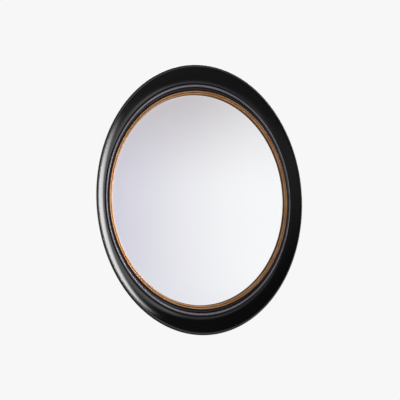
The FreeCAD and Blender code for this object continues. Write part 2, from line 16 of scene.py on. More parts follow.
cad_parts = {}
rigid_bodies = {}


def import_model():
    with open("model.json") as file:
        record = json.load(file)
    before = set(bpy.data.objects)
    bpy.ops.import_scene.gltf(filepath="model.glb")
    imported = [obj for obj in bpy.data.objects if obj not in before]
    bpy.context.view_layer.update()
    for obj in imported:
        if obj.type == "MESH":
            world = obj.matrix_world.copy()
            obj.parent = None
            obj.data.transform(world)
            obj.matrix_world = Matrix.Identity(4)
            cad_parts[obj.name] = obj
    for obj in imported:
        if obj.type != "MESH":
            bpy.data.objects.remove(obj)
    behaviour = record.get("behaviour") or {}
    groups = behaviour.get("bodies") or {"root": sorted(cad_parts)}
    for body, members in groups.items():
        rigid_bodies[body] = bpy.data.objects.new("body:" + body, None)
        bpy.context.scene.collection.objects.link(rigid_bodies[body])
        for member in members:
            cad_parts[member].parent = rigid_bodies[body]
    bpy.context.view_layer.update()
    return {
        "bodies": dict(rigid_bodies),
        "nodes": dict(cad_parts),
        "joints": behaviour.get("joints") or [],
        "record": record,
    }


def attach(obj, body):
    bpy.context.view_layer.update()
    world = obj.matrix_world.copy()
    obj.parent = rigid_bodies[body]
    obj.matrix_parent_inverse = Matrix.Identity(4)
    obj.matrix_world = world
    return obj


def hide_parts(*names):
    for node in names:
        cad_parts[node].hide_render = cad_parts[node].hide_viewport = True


log = logging.getLogger("oval_mirror")

MM = 0.001

Colour = tuple[float, float, float, float]
Corner = tuple[float, float, float]
Number = Union["Socket", float, int]
Operand = Union["Socket", float, int, Sequence[float]]


def tint(code: str) -> Colour:
    """Turns a six-digit sRGB code into the linear colour that the shaders use.

    Args:
        code: Six hexadecimal digits, red first.

    Returns:
        The linear red, green, blue and an alpha of one.
    """
    shares = [int(code[start:start + 2], 16) / 255 for start in (0, 2, 4)]
    linear = [s / 12.92 if s <= 0.04045 else ((s + 0.055) / 1.055) ** 2.4 for s in shares]
    return (linear[0], linear[1], linear[2], 1.0)


def grey(level: float) -> Colour:
    """A neutral linear colour of one level."""
    return (level, level, level, 1.0)


class Socket:
    """An output socket that can stand in a sum, so shader maths reads as plain expressions."""

    def __init__(self, tree: "ShaderTree", output: bpy.types.NodeSocket | None) -> None:
        """Keeps the tree that new Math nodes go into and the socket that they read."""
        self.tree = tree
        self.output = output

    def maths(self, operation: str, *operands: Number) -> "Socket":
        """Adds one Math node.

        Args:
            operation: The Math node's operation.
            *operands: Its two or three inputs, in order.

        Returns:
            The node's result.
        """
        sockets = dict(enumerate(operands))
        return self.tree.add("ShaderNodeMath", {"operation": operation}, sockets)

    def __add__(self, other: Number) -> "Socket":
        """The sum of two values."""
        return self.maths("ADD", self, other)

    def __sub__(self, other: Number) -> "Socket":
        """One value less another."""
        return self.maths("SUBTRACT", self, other)

    def __rsub__(self, other: Number) -> "Socket":
        """A plain number less this value."""
        return self.maths("SUBTRACT", other, self)

    def __mul__(self, other: Number) -> "Socket":
        """The product of two values."""
        return self.maths("MULTIPLY", self, other)

    def __truediv__(self, other: Number) -> "Socket":
        """One value divided by another."""
        return self.maths("DIVIDE", self, other)

    def __rtruediv__(self, other: Number) -> "Socket":
        """A plain number divided by this value."""
        return self.maths("DIVIDE", other, self)

    __radd__ = __add__
    __rmul__ = __mul__

    def __abs__(self) -> "Socket":
        """The value without its sign."""
        return self.maths("ABSOLUTE", self)

    def root(self) -> "Socket":
        """The square root."""
        return self.maths("SQRT", self)

    def most(self, other: Number) -> "Socket":
        """The larger of two values."""
        return self.maths("MAXIMUM", self, other)

    def least(self, other: Number) -> "Socket":
        """The smaller of two values."""
        return self.maths("MINIMUM", self, other)

    def ease(self, start: float, end: float, low: float = 0.0, high: float = 1.0) -> "Socket":
        """Eases from one level to another as the value goes from start to end.

        Args:
            start: The value where the easing starts.
            end: The value where it ends; it may be below start.
            low: The level before start.
            high: The level past end.

        Returns:
            The eased level.
        """
        settings = {"interpolation_type": "SMOOTHSTEP", "clamp": True}
        first, last, before, after = (start, end, low, high) if start <= end else (end, start, high, low)
        sockets = {0: self, 1: first, 2: last, 3: before, 4: after}
        return self.tree.add("ShaderNodeMapRange", settings, sockets)


@dataclass(frozen=True)
class Noise:
    """A soft noise: features in a metre, finer layers, how strong they are, and how far it bends."""

    scale: float
    detail: float
    roughness: float
    bend: float = 0.0


class ShaderTree:
    """A node tree that is filled by method calls."""

    def __init__(self, tree: bpy.types.NodeTree) -> None:
        """Empties the tree, so that nothing but the calls' own nodes is left in it."""
        self.tree = tree
        self.tree.nodes.clear()

    def add(
        self,
        kind: str,
        settings: dict[str, object] | None = None,
        sockets: dict[int | str, Operand] | None = None,
        result: int | str = 0,
    ) -> Socket:
        """Adds one node.

        Args:
            kind: The node's type.
            settings: Its own properties, which are set first.
            sockets: Values or links by input name, identifier or number.
            result: The output to return, by name, identifier or number.

        Returns:
            The chosen output, which is empty for an output node.
        """
        node = self.tree.nodes.new(kind)
        for name, setting in (settings or {}).items():
            setattr(node, name, setting)
        for key, operand in (sockets or {}).items():
            target = self.find(node.inputs, key)
            if isinstance(operand, Socket):
                self.tree.links.new(operand.output, target)
            else:
                target.default_value = operand
        return Socket(self, self.find(node.outputs, result) if node.outputs else None)

    @staticmethod
    def find(sockets: bpy.types.bpy_prop_collection, key: int | str) -> bpy.types.NodeSocket:
        """Finds a node's input or output by number, identifier or name."""
        by_identifier = {socket.identifier: socket for socket in sockets}
        return by_identifier.get(key) or sockets[key]

    def blend(self, share: Number, first: Operand, second: Operand) -> Socket:
        """Mixes two colours.

        Args:
            share: How much of the second shows.
            first: The colour at a share of zero.
            second: The colour at a share of one.

        Returns:
            The mixed colour.
        """
        settings = {"data_type": "RGBA", "blend_type": "MIX", "clamp_factor": True}
        sockets = {"Factor_Float": share, "A_Color": first, "B_Color": second}
        return self.add("ShaderNodeMix", settings, sockets, "Result_Color")

    def place(self) -> Socket:
        """The point on the surface, in metres in the frame's axes."""
        return self.add("ShaderNodeTexCoord", result="Object")

    def parts(self, vector: Socket) -> tuple[Socket, ...]:
        """The three numbers of a vector."""
        split = self.add("ShaderNodeSeparateXYZ", sockets={0: vector}).output.node
        return tuple(Socket(self, output) for output in split.outputs)

    def scaled(self, vector: Socket, factors: Sequence[float]) -> Socket:
        """A vector times a factor along each axis."""
        return self.add("ShaderNodeVectorMath", {"operation": "MULTIPLY"}, {0: vector, 1: factors})

    def noise(self, where: Socket, texture: Noise) -> Socket:
        """A soft noise between zero and one, read at the given coordinates."""
        numbers = dict(zip(("Scale", "Detail", "Roughness", "Distortion"), astuple(texture)))
        return self.add("ShaderNodeTexNoise", {"noise_dimensions": "3D"}, {"Vector": where, **numbers})

    def cells(self, where: Socket, scale: float) -> Socket:
        """The distance to the nearest cell's middle."""
        sockets = {"Vector": where, "Scale": scale}
        return self.add("ShaderNodeTexVoronoi", {"feature": "F1"}, sockets, "Distance")

    def raised(self, height: Socket, strength: float, depth: float, under: Socket | None = None) -> Socket:
        """Turns a height into a bumped normal.

        Args:
            height: The height as a share of the depth.
            strength: How much of the bump shows.
            depth: The real depth of the relief, in metres.
            under: A bumped normal that this one lies over.

        Returns:
            The normal.
        """
        sockets: dict[int | str, Operand] = {"Height": height, "Strength": strength, "Distance": depth}
        if under is not None:
            sockets["Normal"] = under
        return self.add("ShaderNodeBump", sockets=sockets)


class Grain(Enum):
    """Which way a board's grain runs, by how fine its figure is along each axis."""

    ACROSS = (1.0, 8.0, 14.0)
    UP = (14.0, 8.0, 1.0)


@dataclass(frozen=True)
class Ellipse:
    """An oval line of the mirror, by its half width and half height."""

    across: float
    up: float

    def share(self, across: Socket, up: Socket) -> Socket:
        """Tells how far out a point lies.

        Args:
            across: The point's distance across from the middle.
            up: The point's height over the middle.

        Returns:
            A share of this oval, which is one on the line itself.
        """
        side = across / self.across
        end = up / self.up
        return (side * side + end * end).root()


# Shared by the wood, the slip and their finishes.
OUTER = Ellipse(0.303, 0.381)
OPENING = Ellipse(0.2637, 0.3103)
JOINT_ANGLE = 48.0


@dataclass(frozen=True)
class Finish:
    """A finish that any piece may wear."""

    name: str

    def paint(self, tree: ShaderTree) -> dict[str, Operand]:
        """Adds the finish's nodes.

        Args:
            tree: The material's node tree.

        Returns:
            What goes into the surface shader's sockets.
        """
        raise NotImplementedError

    def material(self) -> bpy.types.Material:
        """Builds the material with one surface shader.

        Returns:
            The material.
        """
        made = bpy.data.materials.new(self.name)
        made.use_nodes = True
        tree = ShaderTree(made.node_tree)
        shader = tree.add("ShaderNodeBsdfPrincipled", sockets=self.paint(tree))
        tree.add("ShaderNodeOutputMaterial", sockets={"Surface": shader})
        return made


@dataclass(frozen=True)
class Lacquer(Finish):
    """Black satin lacquer on turned wood, with bare wood showing where the spray didn't reach and a painted
    highlight along the bead and the rim's crest.
    """

    grain: Grain
    crest: Ellipse
    bead: Ellipse
    rabbet: Ellipse
    back_level: float
    lip_back: float
    figure: Noise = Noise(18, 6, 0.6, 0.4)
    pores: Noise = Noise(60, 3, 0.7)
    cloud: Noise = Noise(9, 3, 0.6)
    fine: Noise = Noise(90, 4, 0.6)
    ripple: Noise = Noise(45, 2, 0.5)
    black: Colour = tint("0A0809")
    # painted highlight: the pale lavender colour of the line laid along the bead and the rim's crest
    painted_highlight: Colour = tint("928B98")
    highlight_metal: float = 0.6
    highlight_dulling: float = 0.22
    rim_highlight: float = 0.25
    highlight_level: float = 0.75
    highlight_spread: float = 0.5
    wood_light: Colour = tint("C3A077")
    wood_dark: Colour = tint("8D6A47")
    pore: Colour = grey(0.03)
    overspray: tuple[float, float] = (24.0 * MM, 12.0 * MM)
    spray_wander: float = 20.0 * MM
    lip_fade: float = 0.2 * MM
    roughness: float = 0.13
    bare_roughness: float = 0.7
    specular: float = 0.5
    hollow_lean: float = 0.0095
    lean_reach: tuple[float, float] = (0.16, 0.66)
    beside_reach: tuple[float, float] = (0.2, 0.65)

    def painted_highlight_mask(self, across: Socket, up: Socket, highlight_strength: Socket) -> Socket:
        """Paints a highlight along the bead and, fainter, along the crest of the rim.

        Args:
            across: The point's distance across from the middle.
            up: The point's height over the middle.
            highlight_strength: How strong the painted highlight is from place to place.

        Returns:
            How much of the painted highlight shows.
        """
        crest_off = self.crest.share(across, up) - 1
        rim_line = crest_off.ease(-0.004, 0.0) * crest_off.ease(0.008, 0.002)
        bead_line = abs(self.bead.share(across, up) - 1).ease(0.0115, 0.006)
        return (bead_line + rim_line * self.rim_highlight).least(1.0) * highlight_strength

    def bare(self, tree: ShaderTree, across: Socket, out: Socket, up: Socket, fine: Socket) -> Socket:
        """Leaves the wood bare on the back and in the rabbet.

        Args:
            tree: The material's node tree.
            across: The point's distance across from the middle.
            out: Its place along Y.
            up: Its height over the middle.
            fine: A fine noise that frays the edge of the spray.

        Returns:
            How much of the wood is bare.
        """
        back = tree.parts(tree.add("ShaderNodeNewGeometry", result="Normal"))[1]
        depth = -1 * out
        first, last = (self.back_level + reach for reach in self.overspray)
        sprayed = (fine * self.spray_wander + depth).ease(first, last)
        inner = self.rabbet.share(across, up).ease(1.02, 1.0)
        inner = inner * depth.ease(self.lip_back + self.lip_fade, self.lip_back - self.lip_fade)
        return (back.ease(0.55, 0.9) * sprayed).most(inner)

    def paint(self, tree: ShaderTree) -> dict[str, Operand]:
        """Lays the lacquer over the wood, thin on the back, with a painted highlight along the bead and the
        rim's crest.

        Args:
            tree: The material's node tree.

        Returns:
            What goes into the surface shader's sockets.
        """
        place = tree.place()
        across, out, up = tree.parts(place)
        along = tree.scaled(place, self.grain.value)
        figure = tree.noise(along, self.figure)
        pores = tree.noise(tree.scaled(along, (2.0, 2.0, 2.0)), self.pores)
        wood = tree.blend(figure.ease(0.3, 0.7), self.wood_light, self.wood_dark)
        wood = tree.blend(pores.ease(0.62, 0.75, 0.0, 0.5), wood, self.pore)
        cloud = tree.noise(place, self.cloud)
        fine = tree.noise(place, self.fine)
        # the strength of the painted highlight varies from place to place
        highlight_strength = self.highlight_level + (fine - 0.5) * self.highlight_spread + (cloud - 0.5) * self.highlight_spread
        painted_highlight_mask = self.painted_highlight_mask(across, up, highlight_strength)
        bare = self.bare(tree, across, out, up, fine)
        # the black lacquer is lightened by the painted highlight along the bead and the rim's crest
        colour = tree.blend(bare, tree.blend(painted_highlight_mask, self.black, self.painted_highlight), wood)
        level = self.roughness + (cloud - 0.5) * 0.06 + (fine - 0.5) * 0.04 + painted_highlight_mask * self.highlight_dulling
        outer, opening = OUTER.share(across, up), OPENING.share(across, up)
        first, last = self.lean_reach
        hollow = ((1 - outer) / (opening - outer)).most(first).least(last)
        beside = (abs(across) * (1 / OUTER.across)).ease(*self.beside_reach)
        lean = tree.raised(hollow * beside * self.hollow_lean, 1.0, 1.0)
        ripple = tree.raised(tree.noise(place, self.ripple), 0.02, 0.5 * MM, lean)
        relief = tree.raised(figure * 0.5 + pores, 0.002, 0.4 * MM, ripple)
        # the painted highlight line is also made partly metallic, so that it catches more of the light
        return {"Base Color": colour, "Metallic": painted_highlight_mask * (1 - bare) * self.highlight_metal,
                "Roughness": level.most(bare * self.bare_roughness),
                "Specular IOR Level": self.specular, "Normal": relief}


@dataclass(frozen=True)
class Gilt(Finish):
    """Bronze gilding on fine reeds, with a brown wash left in the valleys."""

    sight: Ellipse
    valley_share: float
    cloud: Noise = Noise(14, 4, 0.6)
    speck: Noise = Noise(260, 3, 0.7)
    gold: Colour = tint("CB9362")
    pale: Colour = tint("DDAC7E")
    wash: Colour = tint("3E2314")
    roughness: float = 0.52
    metal: float = 0.8
    wash_cover: float = 0.8

    def paint(self, tree: ShaderTree) -> dict[str, Operand]:
        """Lays the wash into the valleys and lets it break through the gold in specks.

        Args:
            tree: The material's node tree.

        Returns:
            What goes into the surface shader's sockets.
        """
        place = tree.place()
        across, out, up = tree.parts(place)
        cloud = tree.noise(place, self.cloud)
        speck = tree.noise(place, self.speck)
        gold = tree.blend(cloud.ease(0.35, 0.65), self.gold, self.pale)
        outer = OPENING.share(across, up)
        inner = self.sight.share(across, up)
        band = (1 - outer) / (inner - outer)
        valley = abs(band - self.valley_share).ease(0.07, 0.01).most(band.ease(0.06, 0.0))
        wash = (valley * self.wash_cover + speck.ease(0.63, 0.74) * 0.4).least(1.0)
        colour = tree.blend(wash, gold, self.wash)
        rough = self.roughness + (cloud - 0.5) * 0.12 + wash * 0.2
        relief = tree.raised(speck * 0.5 + cloud * 0.5, 0.04, 0.3 * MM)
        return {"Base Color": colour, "Metallic": self.metal - wash * 0.5, "Roughness": rough,
                "Normal": relief}


@dataclass(frozen=True)
class ClearGlass(Finish):
    """Polished float glass with a faint wave and a few smears."""

    smear: Noise = Noise(7, 5, 0.65, 0.6)
    wave: Noise = Noise(3, 1, 0.4)
    body: Colour = tint("FEFEFF")
    index: float = 1.52

    def paint(self, tree: ShaderTree) -> dict[str, Operand]:
        """Lets the light through and bends it, with the least trace of smearing.

        Args:
            tree: The material's node tree.

        Returns:
            What goes into the surface shader's sockets.
        """
        place = tree.place()
        smear = tree.noise(place, self.smear).ease(0.6, 0.9)
        wave = tree.raised(tree.noise(place, self.wave), 0.01, 0.5 * MM)
        return {"Base Color": self.body, "Roughness": smear * 0.002, "Transmission Weight": 1.0,
                "IOR": self.index, "Normal": wave}


@dataclass(frozen=True)
class Silvering(Finish):
    """Silver towards the glass, and grey backing paint towards the wall."""

    mottle: Noise = Noise(60, 4, 0.6)
    silver: Colour = tint("FCFDFC")
    paint_light: Colour = tint("7E8587")
    paint_dark: Colour = tint("6E7577")

    def paint(self, tree: ShaderTree) -> dict[str, Operand]:
        """Tells the two faces apart by which way they look.

        Args:
            tree: The material's node tree.

        Returns:
            What goes into the surface shader's sockets.
        """
        normal = tree.add("ShaderNodeNewGeometry", result="Normal")
        wall_side = tree.parts(normal)[1].ease(-0.2, 0.2)
        mottle = tree.noise(tree.place(), self.mottle)
        paint = tree.blend(mottle.ease(0.3, 0.7), self.paint_light, self.paint_dark)
        return {"Base Color": tree.blend(wall_side, self.silver, paint), "Metallic": 1 - wall_side,
                "Roughness": wall_side * 0.5}


@dataclass(frozen=True)
class BareWood(Finish):
    """Unfinished hardwood, cut along the grain."""

    grain: Grain = Grain.ACROSS
    figure: Noise = Noise(30, 6, 0.6, 0.5)
    pores: Noise = Noise(160, 3, 0.7)
    light: Colour = tint("D2AF84")
    dark: Colour = tint("A57F55")

    def paint(self, tree: ShaderTree) -> dict[str, Operand]:
        """Draws the figure and the pores along the grain.

        Args:
            tree: The material's node tree.

        Returns:
            What goes into the surface shader's sockets.
        """
        along = tree.scaled(tree.place(), self.grain.value)
        figure = tree.noise(along, self.figure)
        pores = tree.noise(along, self.pores)
        colour = tree.blend(figure.ease(0.3, 0.7), self.light, self.dark)
        relief = tree.raised(figure * 0.4 + pores * 0.6, 0.3, 0.3 * MM)
        return {"Base Color": colour, "Roughness": 0.62 + (pores - 0.5) * 0.2, "Normal": relief}


@dataclass(frozen=True)
class Foam(Finish):
    """White packing foam with closed cells."""

    cell_scale: float = 700.0
    white: Colour = tint("E8E8E4")
    hollow: Colour = tint("CFCFC9")

    def paint(self, tree: ShaderTree) -> dict[str, Operand]:
        """Dimples the skin with small cells.

        Args:
            tree: The material's node tree.

        Returns:
            What goes into the surface shader's sockets.
        """
        cells = tree.cells(tree.place(), self.cell_scale)
        relief = tree.raised(cells, 0.5, 0.4 * MM)
        colour = tree.blend(cells.ease(0.0, 0.6), self.hollow, self.white)
        return {"Base Color": colour, "Roughness": 0.75, "Normal": relief}


@dataclass(frozen=True)
class Hardboard(Finish):
    """Pressed brown fibreboard."""

    cloud: Noise = Noise(5, 4, 0.6)
    fibre: Noise = Noise(420, 4, 0.75, 1.2)
    other: Noise = Noise(380, 4, 0.75, 1.2)
    light: Colour = tint("8E6743")
    dark: Colour = tint("6A4729")
    flecks: Colour = tint("B48B60")
    roughness: float = 0.55

    def paint(self, tree: ShaderTree) -> dict[str, Operand]:
        """Scatters short fibres and darker flecks over a cloudy brown.

        Args:
            tree: The material's node tree.

        Returns:
            What goes into the surface shader's sockets.
        """
        place = tree.place()
        cloud = tree.noise(place, self.cloud)
        fibre = tree.noise(tree.scaled(place, (1.0, 1.0, 3.0)), self.fibre)
        other = tree.noise(tree.scaled(place, (3.0, 1.0, 1.0)), self.other)
        fleck = (fibre * other).ease(0.27, 0.42)
        colour = tree.blend((cloud * 0.5 + fibre * 0.5).ease(0.35, 0.65), self.light, self.dark)
        colour = tree.blend(fleck * 0.5, colour, self.flecks)
        relief = tree.raised(fibre + other, 0.25, 0.3 * MM)
        return {"Base Color": colour, "Roughness": self.roughness + (cloud - 0.5) * 0.15, "Normal": relief}


@dataclass(frozen=True)
class Rubber(Finish):
    """Moulded black rubber."""

    dusting: Noise = Noise(70, 4, 0.7)
    mould: Noise = Noise(900, 2, 0.6)
    black: Colour = tint("1D1D1E")
    dust: Colour = tint("55534F")
    roughness: float = 0.66

    def paint(self, tree: ShaderTree) -> dict[str, Operand]:
        """Dusts the rubber and gives it a fine mould texture.

        Args:
            tree: The material's node tree.

        Returns:
            What goes into the surface shader's sockets.
        """
        place = tree.place()
        dust = tree.noise(place, self.dusting)
        colour = tree.blend(dust.ease(0.5, 0.8) * 0.35, self.black, self.dust)
        return {"Base Color": colour, "Roughness": self.roughness + (dust - 0.5) * 0.2,
                "Normal": tree.raised(tree.noise(place, self.mould), 0.35, 0.2 * MM)}


@dataclass(frozen=True)
class PlatedSteel(Finish):
    """Plated steel with fine brushing and a few dull spots."""

    colour: Colour
    dull: Colour
    roughness: float
    spots: Noise = Noise(160, 4, 0.65)
    lines: Noise = Noise(900, 2, 0.5)
    brushing: tuple[float, float, float] = (1.0, 1.0, 12.0)

    def paint(self, tree: ShaderTree) -> dict[str, Operand]:
        """Brushes the plating and dulls it in spots.

        Args:
            tree: The material's node tree.

        Returns:
            What goes into the surface shader's sockets.
        """
        place = tree.place()
        lines = tree.noise(tree.scaled(place, self.brushing), self.lines)
        dulled = tree.noise(place, self.spots).ease(0.48, 0.72)
        rough = self.roughness + dulled * 0.2 + (lines - 0.5) * 0.12
        return {"Base Color": tree.blend(dulled, self.colour, self.dull), "Metallic": 1.0,
                "Roughness": rough, "Normal": tree.raised(lines, 0.04, 0.15 * MM)}


def dress(frame: dict, nodes: Sequence[str], finish: Finish) -> None:
    """Gives CAD nodes one finish.

    Args:
        frame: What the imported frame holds.
        nodes: The nodes' names.
        finish: The finish that they share.
    """
    made = finish.material()
    for name in nodes:
        mesh = frame["nodes"][name].data
        mesh.materials.clear()
        mesh.materials.append(made)
        log.info("%s wears %s", name, finish.name)


@dataclass(frozen=True)
class Line:
    """An oval line on the frame, by its offsets inside the outer edge and its level off the wall."""

    side: float
    end: float
    level: float

    def ellipse(self) -> Ellipse:
        """The oval that the line follows."""
        return Ellipse(OUTER.across - self.side, OUTER.up - self.end)


@dataclass(frozen=True)
class Band:
    """One band of the moulding, by where it starts and how wide it is at the sides and the ends."""

    side: float
    side_width: float
    end: float
    end_width: float

    def line(self, share: float, level: float) -> Line:
        """The line a share of the way across the band."""
        return Line(self.side + share * self.side_width, self.end + share * self.end_width, level)

    def rise(self, start: float, finish: float, low: float, high: float, steps: int) -> list[Line]:
        """A quarter round that climbs steeply and then levels out.

        Args:
            start: The share across where it starts.
            finish: The share across where it levels out.
            low: Its level at the start.
            high: Its level at the finish.
            steps: How many lines it has, the start left out.

        Returns:
            The lines of the round.
        """
        lines = []
        for step in range(1, steps + 1):
            turn = math.pi / 2 * step / steps
            share = start + (finish - start) * (1 - math.cos(turn))
            lines.append(self.line(share, low + (high - low) * math.sin(turn)))
        return lines

    def fall(self, start: float, finish: float, high: float, low: float, steps: int) -> list[Line]:
        """A quarter round that leaves its crest level and then drops steeply."""
        climb = self.rise(finish, start, low, high, steps)
        return climb[-2::-1] + [self.line(finish, low)]


def closed_mesh(name: str, rings: Sequence[Sequence[Corner]], sharp: float, turned: bool) -> bpy.types.Mesh:
    """Joins rings of corners into one closed mesh.

    Args:
        name: The mesh's name.
        rings: Its rings in order, with as many corners in each.
        sharp: The angle in degrees past which an edge stays crisp.
        turned: Whether the faces are turned the other way.

    Returns:
        The mesh.
    """
    count = len(rings[0])
    last = (len(rings) - 1) * count
    faces = []
    for low in range(0, last, count):
        for index in range(count):
            after = (index + 1) % count
            faces.append((low + index, low + count + index, low + count + after, low + after))
    faces.append(tuple(range(count)))
    faces.append((last, *reversed(range(last + 1, last + count))))
    if turned:
        faces = [(face[0], *reversed(face[1:])) for face in faces]
    made = bpy.data.meshes.new(name)
    made.from_pydata([corner for ring in rings for corner in ring], [], faces)
    made.validate()
    made.shade_smooth()
    made.set_sharp_from_angle(angle=math.radians(sharp))
    return made


@dataclass
class Sweep:
    """A closed section carried round an oval from one joint to the next."""

    lines: list[Line]
    steps: int = 96
    joint_gap: float = 0.03 * MM
    joint_round: float = 0.12 * MM
    joint_hold: float = 0.0006
    crisp_angle: float = 30.0

    def shrunk(self, by: float) -> list[Line]:
        """Draws the section in evenly, for the eased edge beside a joint.

        Args:
            by: How far it is drawn in.

        Returns:
            The drawn-in section.
        """
        moved = []
        count = len(self.lines)
        for index, line in enumerate(self.lines):
            before, after = self.lines[index - 1], self.lines[(index + 1) % count]
            run = Vector((after.side - before.side, after.level - before.level))
            inward = Vector((run.y, -run.x)).normalized() * by
            moved.append(Line(line.side + inward.x, line.end + inward.x, line.level + inward.y))
        return moved

    def ring(
        self, lines: Sequence[Line], start: float, finish: float, share: float, trim: float
    ) -> list[Corner]:
        """The section's corners at one share of the way along the arc.

        Args:
            lines: The section.
            start: The direction of the first joint, in radians from +X towards +Z.
            finish: The direction of the second joint.
            share: How far along the arc the ring lies.
            trim: How far both ends stay from the joints' planes.

        Returns:
            One corner for each line.
        """
        corners = []
        for line in lines:
            oval = line.ellipse()
            turns = []
            for joint, sign in ((start, 1), (finish, -1)):
                reach = math.hypot(oval.across * math.cos(joint), oval.up * math.sin(joint))
                held = joint + sign * trim / reach
                turns.append(math.atan2(math.sin(held) / oval.up, math.cos(held) / oval.across))
            if turns[1] < turns[0]:
                turns[1] += math.tau
            turn = turns[0] + (turns[1] - turns[0]) * share
            corners.append((oval.across * math.cos(turn), -line.level, oval.up * math.sin(turn)))
        return corners

    def mesh(self, name: str, start: float, finish: float) -> bpy.types.Mesh:
        """Builds one arc with eased edges and flat ends at its joints.

        Args:
            name: The mesh's name.
            start: The direction of the first joint.
            finish: The direction of the second joint.

        Returns:
            The arc's mesh.
        """
        tight = self.shrunk(self.joint_round)
        rings = [self.ring(tight, start, finish, 0.0, self.joint_gap)]
        between = [index / self.steps for index in range(1, self.steps)]
        for share in (0.0, self.joint_hold, *between, 1 - self.joint_hold, 1.0):
            rings.append(self.ring(self.lines, start, finish, share, self.joint_gap + self.joint_round))
        rings.append(self.ring(tight, start, finish, 1.0, self.joint_gap))
        return closed_mesh(name, rings, self.crisp_angle, turned=False)


def stand_for(mesh: bpy.types.Mesh, node: str, body: str) -> None:
    """Puts a finely built mesh in a CAD node's place.

    Args:
        mesh: The mesh, in the frame's axes, with the piece's name.
        node: The CAD node that it stands for.
        body: The body that it rides on.
    """
    piece = bpy.data.objects.new(mesh.name, mesh)
    bpy.context.scene.collection.objects.link(piece)
    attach(piece, body)
    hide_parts(node)
    log.info("%s stands for %s", piece.name, node)


def arc_joints() -> dict[str, tuple[float, float]]:
    """Places the joints between the arcs.

    Returns:
        The directions of each arc's two joints, in radians from +X towards +Z.
    """
    turn = math.radians(JOINT_ANGLE)
    half = math.pi
    return {"right": (-turn, turn), "top": (turn, half - turn),
            "left": (half - turn, half + turn), "bottom": (half + turn, math.tau - turn)}


@dataclass
class Moulding:
    """The lacquered wood frame: four arcs and the splines in their joints."""

    rabbet: Ellipse = Ellipse(0.270, 0.314)
    rim: Band = Band(0.0, 6.5 * MM, 0.0, 11.0 * MM)
    scoop: Band = Band(6.5 * MM, 22.1 * MM, 11.0 * MM, 38.7 * MM)
    bead: Band = Band(28.6 * MM, 5.8 * MM, 49.7 * MM, 12.5 * MM)
    quirk: Band = Band(34.4 * MM, 4.9 * MM, 62.2 * MM, 8.5 * MM)
    rabbet_line: tuple[float, float] = (33.0 * MM, 67.0 * MM)
    back_inset: tuple[float, float] = (15.0 * MM, 18.0 * MM)
    back_level: float = 6.0 * MM
    back_edge: float = 8.0 * MM
    girth: float = 36.0 * MM
    crest: float = 42.5 * MM
    crease: float = 38.9 * MM
    floor: float = 19.2 * MM
    lip_back: float = 17.0 * MM
    bead_height: float = 2.8 * MM
    crest_share: float = 0.46
    # how far across the bead the painted highlight line is centred
    highlight_share: float = 0.64
    scoop_powers: tuple[float, float] = (1.2, 1.6)
    scoop_depth_power: float = 1.6
    quirk_depth: float = 1.2 * MM
    quirk_fullness: float = 0.8
    quirk_chamfer: float = 0.03
    rim_steps: tuple[int, int] = (12, 10)
    scoop_steps: int = 32
    bead_steps: int = 8
    quirk_steps: int = 10
    upright_arcs: tuple[str, ...] = ("left", "right")
    joints: tuple[str, ...] = ("upper_right", "upper_left", "lower_left", "lower_right")

    def section(self) -> list[Line]:
        """Draws the wood's section, from the rabbet round the back and over the moulding.

        Returns:
            Its lines in order.
        """
        climb, drop = self.rim_steps
        bead_crest = self.floor + self.bead_height
        lines = [Line(*self.rabbet_line, self.back_level), Line(*self.back_inset, self.back_level),
                 Line(*self.back_inset, self.back_level + self.back_edge), self.rim.line(0.0, self.girth)]
        lines += self.rim.rise(0.0, self.crest_share, self.girth, self.crest, climb)
        lines += self.rim.fall(self.crest_share, 1.0, self.crest, self.crease, drop)
        for step in range(1, self.scoop_steps + 1):
            depth = (1 - step / self.scoop_steps) ** self.scoop_depth_power
            side, end = (1 - depth ** (1 / power) for power in self.scoop_powers)
            lines.append(Line(self.scoop.side + side * self.scoop.side_width,
                              self.scoop.end + end * self.scoop.end_width,
                              self.floor + (self.crease - self.floor) * depth))
        lines += self.bead.rise(0.0, 0.5, self.floor, bead_crest, self.bead_steps)
        lines += self.bead.fall(0.5, 1.0, bead_crest, self.floor, self.bead_steps)
        for step in range(1, self.quirk_steps + 1):
            share = step / self.quirk_steps
            depth = self.quirk_depth * math.sin(math.pi * share) ** self.quirk_fullness
            lines.append(self.quirk.line(share * (1 - self.quirk_chamfer), self.floor - depth))
        lines.append(self.quirk.line(1.0, self.floor - self.quirk_chamfer * self.quirk.side_width))
        lines.append(self.quirk.line(1.0, self.lip_back))
        lines.append(Line(*self.rabbet_line, self.lip_back))
        return lines

    def finish(self, grain: Grain) -> Lacquer:
        """Mixes the lacquer for boards whose grain runs one way.

        Args:
            grain: Which way the grain runs.

        Returns:
            The finish.
        """
        name = f"black_lacquer_{grain.name.lower()}"
        crest = self.rim.line(self.crest_share, self.crest).ellipse()
        # the oval along which the painted highlight runs on the bead
        bead = self.bead.line(self.highlight_share, self.floor).ellipse()
        return Lacquer(name, grain, crest, bead, self.rabbet, self.back_level, self.lip_back)

    def build(self, frame: dict) -> None:
        """Builds and dresses the arcs, and dresses the splines.

        Args:
            frame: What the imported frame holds.
        """
        sweep = Sweep(self.section())
        finishes = {grain: self.finish(grain).material() for grain in Grain}
        for place, (start, finish) in arc_joints().items():
            mesh = sweep.mesh(f"moulding_{place}", start, finish)
            grain = Grain.UP if place in self.upright_arcs else Grain.ACROSS
            mesh.materials.append(finishes[grain])
            stand_for(mesh, f"frame_arc_{place}", "frame")
        dress(frame, [f"joint_spline_{joint}" for joint in self.joints], BareWood("spline_wood"))


